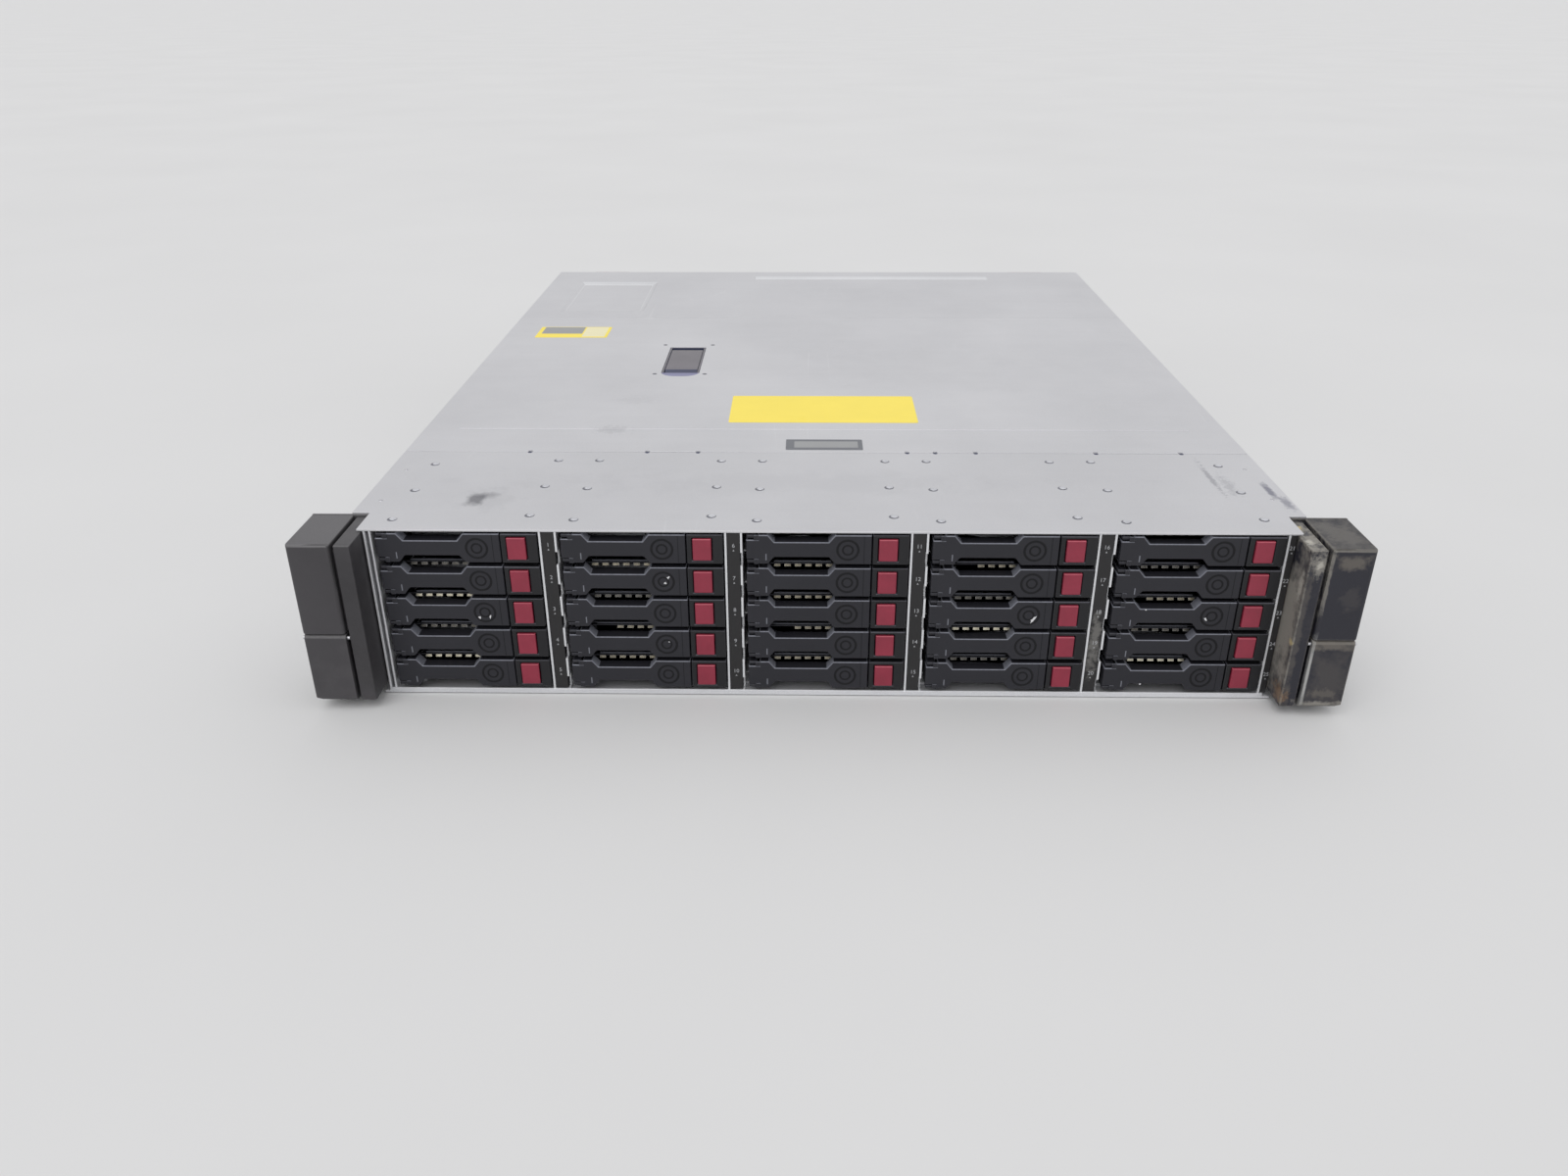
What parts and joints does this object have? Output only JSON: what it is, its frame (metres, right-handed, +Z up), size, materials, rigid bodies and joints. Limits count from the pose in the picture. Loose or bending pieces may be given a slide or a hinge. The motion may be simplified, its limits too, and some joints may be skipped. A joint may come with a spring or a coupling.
{
  "type": "disk enclosure",
  "caption": "Low rack-mount disk enclosure with columns of slide-out disk carriers, release levers and buttons, flip-up ear latches, a lift-off access panel and rear modules.",
  "frame": {"origin": "middle of the bottom face on the rack plane, which is the back face of the rack ears", "axes": "+X across to the right as seen from the front, +Y from the front to the rear, +Z up"},
  "size_m": [0.4842, 0.5795, 0.0875],
  "materials": {
    "zinc_sheet": "zinc-plated sheet, satin",
    "bright_steel": "plated fasteners and pins",
    "ear_plastic": "dark grey moulded plastic",
    "strip_plastic": "black moulded plastic",
    "carrier_black": "black carrier round an aluminium disk",
    "lever_plastic": "black moulded plastic",
    "button_red": "translucent dark red plastic",
    "latch_plastic": "dark grey moulded plastic",
    "board_green": "green circuit board",
    "module_steel": "plated sheet",
    "supply_case": "satin case",
    "fan_plastic": "black moulded plastic"
  },
  "bodies": {
    "chassis": {"base_tray": "zinc_sheet", "front_cover": "zinc_sheet", "rear_cover": "zinc_sheet", "cage_walls": "zinc_sheet", "number_strips": "strip_plastic", "midplane": "board_green", "module_cage": "zinc_sheet", "rack_brackets": "bright_steel", "left_ear": "ear_plastic", "right_ear": "ear_plastic", "ear_hinge_pins": "bright_steel"},
    "access_panel": {"access_panel": "zinc_sheet", "panel_latch_housing": "latch_plastic"},
    "panel_latch": {"panel_latch": "latch_plastic"},
    "left_ear_latch": {"left_ear_latch": "ear_plastic"},
    "right_ear_latch": {"right_ear_latch": "ear_plastic"},
    "io_module_a": {"io_module_a": "module_steel"},
    "io_module_b": {"io_module_b": "module_steel"},
    "power_supply_1": {"power_supply_1": "supply_case"},
    "power_supply_2": {"power_supply_2": "supply_case"},
    "fan_module_1": {"fan_module_1": "fan_plastic"},
    "fan_module_2": {"fan_module_2": "fan_plastic"},
    "fan_rotor_1": {"fan_rotor_1": "fan_plastic"},
    "fan_rotor_2": {"fan_rotor_2": "fan_plastic"},
    "drive_01": {"drive_01": "carrier_black"},
    "lever_01": {"lever_01": "lever_plastic"},
    "button_01": {"button_01": "button_red"},
    "drive_02": {"drive_02": "carrier_black"},
    "lever_02": {"lever_02": "lever_plastic"},
    "button_02": {"button_02": "button_red"},
    "drive_03": {"drive_03": "carrier_black"},
    "lever_03": {"lever_03": "lever_plastic"},
    "button_03": {"button_03": "button_red"},
    "drive_04": {"drive_04": "carrier_black"},
    "lever_04": {"lever_04": "lever_plastic"},
    "button_04": {"button_04": "button_red"},
    "drive_05": {"drive_05": "carrier_black"},
    "lever_05": {"lever_05": "lever_plastic"},
    "button_05": {"button_05": "button_red"},
    "drive_06": {"drive_06": "carrier_black"},
    "drive_07": {"drive_07": "carrier_black"},
    "drive_08": {"drive_08": "carrier_black"},
    "drive_09": {"drive_09": "carrier_black"},
    "drive_10": {"drive_10": "carrier_black"},
    "drive_11": {"drive_11": "carrier_black"},
    "drive_12": {"drive_12": "carrier_black"},
    "drive_13": {"drive_13": "carrier_black"},
    "drive_14": {"drive_14": "carrier_black"},
    "drive_15": {"drive_15": "carrier_black"},
    "drive_16": {"drive_16": "carrier_black"},
    "drive_17": {"drive_17": "carrier_black"},
    "drive_18": {"drive_18": "carrier_black"},
    "drive_19": {"drive_19": "carrier_black"},
    "drive_20": {"drive_20": "carrier_black"},
    "drive_21": {"drive_21": "carrier_black"},
    "drive_22": {"drive_22": "carrier_black"},
    "drive_23": {"drive_23": "carrier_black"},
    "drive_24": {"drive_24": "carrier_black"},
    "drive_25": {"drive_25": "carrier_black"}
  },
  "joints": [
    {"name": "drive_01_slide", "type": "slide", "parent": "chassis", "child": "drive_01", "axis": [0, -1, 0], "range_m": [0, 0.15]},
    {"name": "lever_01_hinge", "type": "hinge", "parent": "drive_01", "child": "lever_01", "pos_m": [-0.2041, -0.0175, 0.0779], "axis": [0, 0, -1], "range_deg": [0, 50]},
    {"name": "button_01_press", "type": "slide", "parent": "drive_01", "child": "button_01", "axis": [0, 1, 0], "range_m": [0, 0.0015], "stiffness_N_per_m": 800, "springref_m": -0.001},
    {"name": "drive_02_slide", "type": "slide", "parent": "chassis", "child": "drive_02", "axis": [0, -1, 0], "range_m": [0, 0.15]},
    {"name": "lever_02_hinge", "type": "hinge", "parent": "drive_02", "child": "lever_02", "pos_m": [-0.2041, -0.0175, 0.0613], "axis": [0, 0, -1], "range_deg": [0, 50]},
    {"name": "button_02_press", "type": "slide", "parent": "drive_02", "child": "button_02", "axis": [0, 1, 0], "range_m": [0, 0.0015], "stiffness_N_per_m": 800, "springref_m": -0.001},
    {"name": "drive_03_slide", "type": "slide", "parent": "chassis", "child": "drive_03", "axis": [0, -1, 0], "range_m": [0, 0.15]},
    {"name": "lever_03_hinge", "type": "hinge", "parent": "drive_03", "child": "lever_03", "pos_m": [-0.2041, -0.0175, 0.0447], "axis": [0, 0, -1], "range_deg": [0, 50]},
    {"name": "button_03_press", "type": "slide", "parent": "drive_03", "child": "button_03", "axis": [0, 1, 0], "range_m": [0, 0.0015], "stiffness_N_per_m": 800, "springref_m": -0.001},
    {"name": "drive_04_slide", "type": "slide", "parent": "chassis", "child": "drive_04", "axis": [0, -1, 0], "range_m": [0, 0.15]},
    {"name": "lever_04_hinge", "type": "hinge", "parent": "drive_04", "child": "lever_04", "pos_m": [-0.2041, -0.0175, 0.0281], "axis": [0, 0, -1], "range_deg": [0, 50]},
    {"name": "button_04_press", "type": "slide", "parent": "drive_04", "child": "button_04", "axis": [0, 1, 0], "range_m": [0, 0.0015], "stiffness_N_per_m": 800, "springref_m": -0.001},
    {"name": "drive_05_slide", "type": "slide", "parent": "chassis", "child": "drive_05", "axis": [0, -1, 0], "range_m": [0, 0.15]},
    {"name": "lever_05_hinge", "type": "hinge", "parent": "drive_05", "child": "lever_05", "pos_m": [-0.2041, -0.0175, 0.0115], "axis": [0, 0, -1], "range_deg": [0, 50]},
    {"name": "button_05_press", "type": "slide", "parent": "drive_05", "child": "button_05", "axis": [0, 1, 0], "range_m": [0, 0.0015], "stiffness_N_per_m": 800, "springref_m": -0.001},
    {"name": "drive_06_slide", "type": "slide", "parent": "chassis", "child": "drive_06", "axis": [0, -1, 0], "range_m": [0, 0.15]},
    {"name": "drive_07_slide", "type": "slide", "parent": "chassis", "child": "drive_07", "axis": [0, -1, 0], "range_m": [0, 0.15]},
    {"name": "drive_08_slide", "type": "slide", "parent": "chassis", "child": "drive_08", "axis": [0, -1, 0], "range_m": [0, 0.15]},
    {"name": "drive_09_slide", "type": "slide", "parent": "chassis", "child": "drive_09", "axis": [0, -1, 0], "range_m": [0, 0.15]},
    {"name": "drive_10_slide", "type": "slide", "parent": "chassis", "child": "drive_10", "axis": [0, -1, 0], "range_m": [0, 0.15]},
    {"name": "drive_11_slide", "type": "slide", "parent": "chassis", "child": "drive_11", "axis": [0, -1, 0], "range_m": [0, 0.15]},
    {"name": "drive_12_slide", "type": "slide", "parent": "chassis", "child": "drive_12", "axis": [0, -1, 0], "range_m": [0, 0.15]},
    {"name": "drive_13_slide", "type": "slide", "parent": "chassis", "child": "drive_13", "axis": [0, -1, 0], "range_m": [0, 0.15]},
    {"name": "drive_14_slide", "type": "slide", "parent": "chassis", "child": "drive_14", "axis": [0, -1, 0], "range_m": [0, 0.15]},
    {"name": "drive_15_slide", "type": "slide", "parent": "chassis", "child": "drive_15", "axis": [0, -1, 0], "range_m": [0, 0.15]},
    {"name": "drive_16_slide", "type": "slide", "parent": "chassis", "child": "drive_16", "axis": [0, -1, 0], "range_m": [0, 0.15]},
    {"name": "drive_17_slide", "type": "slide", "parent": "chassis", "child": "drive_17", "axis": [0, -1, 0], "range_m": [0, 0.15]},
    {"name": "drive_18_slide", "type": "slide", "parent": "chassis", "child": "drive_18", "axis": [0, -1, 0], "range_m": [0, 0.15]},
    {"name": "drive_19_slide", "type": "slide", "parent": "chassis", "child": "drive_19", "axis": [0, -1, 0], "range_m": [0, 0.15]},
    {"name": "drive_20_slide", "type": "slide", "parent": "chassis", "child": "drive_20", "axis": [0, -1, 0], "range_m": [0, 0.15]},
    {"name": "drive_21_slide", "type": "slide", "parent": "chassis", "child": "drive_21", "axis": [0, -1, 0], "range_m": [0, 0.15]},
    {"name": "drive_22_slide", "type": "slide", "parent": "chassis", "child": "drive_22", "axis": [0, -1, 0], "range_m": [0, 0.15]},
    {"name": "drive_23_slide", "type": "slide", "parent": "chassis", "child": "drive_23", "axis": [0, -1, 0], "range_m": [0, 0.15]},
    {"name": "drive_24_slide", "type": "slide", "parent": "chassis", "child": "drive_24", "axis": [0, -1, 0], "range_m": [0, 0.15]},
    {"name": "drive_25_slide", "type": "slide", "parent": "chassis", "child": "drive_25", "axis": [0, -1, 0], "range_m": [0, 0.15]},
    {"name": "left_ear_latch_hinge", "type": "hinge", "parent": "chassis", "child": "left_ear_latch", "pos_m": [-0.2313, -0.0338, 0.0384], "axis": [-1, 0, 0], "range_deg": [0, 90]},
    {"name": "right_ear_latch_hinge", "type": "hinge", "parent": "chassis", "child": "right_ear_latch", "pos_m": [0.2313, -0.0338, 0.0384], "axis": [-1, 0, 0], "range_deg": [0, 90]},
    {"name": "access_panel_lift", "type": "slide", "parent": "chassis", "child": "access_panel", "axis": [0, 0, 1], "range_m": [0, 0.12]},
    {"name": "panel_latch_hinge", "type": "hinge", "parent": "access_panel", "child": "panel_latch", "pos_m": [-0.0903, 0.2828, 0.083], "axis": [-1, 0, 0], "range_deg": [0, 55]},
    {"name": "io_module_a_slide", "type": "slide", "parent": "chassis", "child": "io_module_a", "axis": [0, 1, 0], "range_m": [0, 0.19]},
    {"name": "io_module_b_slide", "type": "slide", "parent": "chassis", "child": "io_module_b", "axis": [0, 1, 0], "range_m": [0, 0.19]},
    {"name": "power_supply_1_slide", "type": "slide", "parent": "chassis", "child": "power_supply_1", "axis": [0, 1, 0], "range_m": [0, 0.19]},
    {"name": "power_supply_2_slide", "type": "slide", "parent": "chassis", "child": "power_supply_2", "axis": [0, 1, 0], "range_m": [0, 0.19]},
    {"name": "fan_module_1_slide", "type": "slide", "parent": "chassis", "child": "fan_module_1", "axis": [0, 1, 0], "range_m": [0, 0.07]},
    {"name": "fan_module_2_slide", "type": "slide", "parent": "chassis", "child": "fan_module_2", "axis": [0, 1, 0], "range_m": [0, 0.07]},
    {"name": "fan_rotor_1_spin", "type": "hinge", "parent": "fan_module_1", "child": "fan_rotor_1", "pos_m": [-0.18, 0.4899, 0.043], "axis": [0, 1, 0], "continuous": true},
    {"name": "fan_rotor_2_spin", "type": "hinge", "parent": "fan_module_2", "child": "fan_rotor_2", "pos_m": [0.18, 0.4899, 0.043], "axis": [0, 1, 0], "continuous": true}
  ]
}
